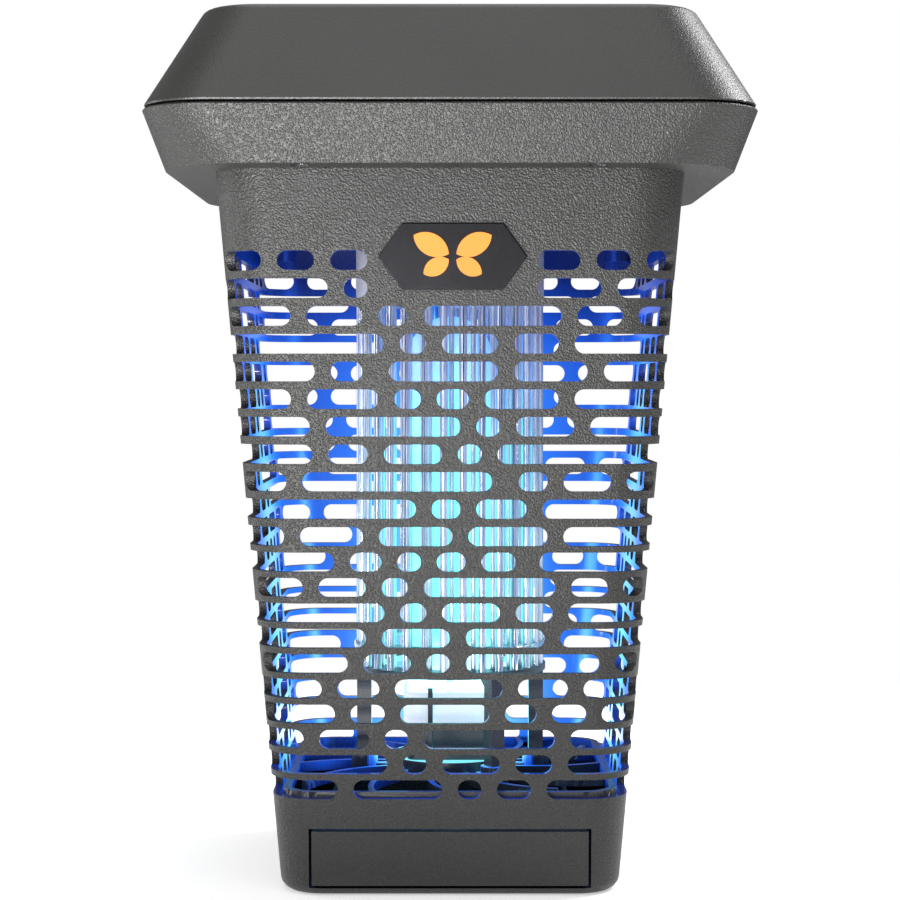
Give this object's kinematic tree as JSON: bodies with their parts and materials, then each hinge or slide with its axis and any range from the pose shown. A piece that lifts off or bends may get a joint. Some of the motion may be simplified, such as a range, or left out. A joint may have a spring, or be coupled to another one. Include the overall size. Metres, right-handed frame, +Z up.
{
  "type": "electric bug zapper",
  "caption": "Square outdoor insect killer: slotted tapered housing, wide sloped lid with a folding hanging bail, ultraviolet lamp in a wire cage, and a slide-out drawer.",
  "frame": {"origin": "middle of the underside, which rests on z = 0", "axes": "+Z up, -Y towards the front with the drawer and the badge, +X to the right as seen from the front"},
  "size_m": [0.23, 0.23, 0.339],
  "materials": {
    "housing_plastic": "pebbled moulded plastic, charcoal",
    "inner_plastic": "smooth dark moulded plastic",
    "holder_plastic": "smooth mid-grey moulded plastic",
    "bail_steel": "bright zinc plate on round steel wire",
    "screw_steel": "zinc plate",
    "badge_metal": "dark anodised aluminium",
    "badge_orange": "raised orange lacquer",
    "gland_rubber": "soft black rubber",
    "grid_wire": "bright galvanised wire",
    "lamp_glass": "lit ultraviolet tube, blue-cyan glow",
    "lamp_white": "white moulded plastic",
    "pin_brass": "brass",
    "lead_cover": "red silicone insulation",
    "board_green": "green solder mask",
    "capacitor_film": "dipped film capacitor",
    "core_steel": "varnished steel laminations",
    "winding_copper": "copper wire under varnish and tape",
    "fuse_glass": "clear glass"
  },
  "bodies": {
    "housing_body": {"housing": "housing_plastic", "rim": "housing_plastic", "roof": "housing_plastic", "bail_brackets": "housing_plastic", "bail_bracket_screws": "screw_steel", "board_screws": "screw_steel", "holder_screws": "screw_steel", "housing_screws": "screw_steel", "roof_screws": "screw_steel", "badge_plate": "badge_metal", "badge_emblem": "badge_orange", "cord_gland": "gland_rubber", "outer_grid": "grid_wire", "inner_grid": "grid_wire", "grid_holder": "holder_plastic", "grid_base": "inner_plastic", "lampholder": "inner_plastic", "lamp_clip": "inner_plastic", "floor_grille": "inner_plastic", "lamp_conduit": "inner_plastic", "uv_tubes": "lamp_glass", "lamp_base": "lamp_white", "terminal_block": "lamp_white", "lamp_pins": "pin_brass", "grid_leads": "lead_cover", "circuit_board": "board_green", "capacitors": "capacitor_film", "transformer_core": "core_steel", "transformer_winding": "winding_copper", "fuse": "fuse_glass"},
    "drawer": {"collection_tray": "housing_plastic"},
    "bail": {"hanging_bail": "bail_steel"}
  },
  "joints": [
    {"name": "drawer_slide", "type": "slide", "parent": "housing_body", "child": "drawer", "axis": [0, -1, 0], "range_m": [0, 0.1]},
    {"name": "bail_hinge", "type": "hinge", "parent": "housing_body", "child": "bail", "pos_m": [0, 0.022, 0.3355], "axis": [-1, 0, 0], "range_deg": [0, 150]}
  ]
}
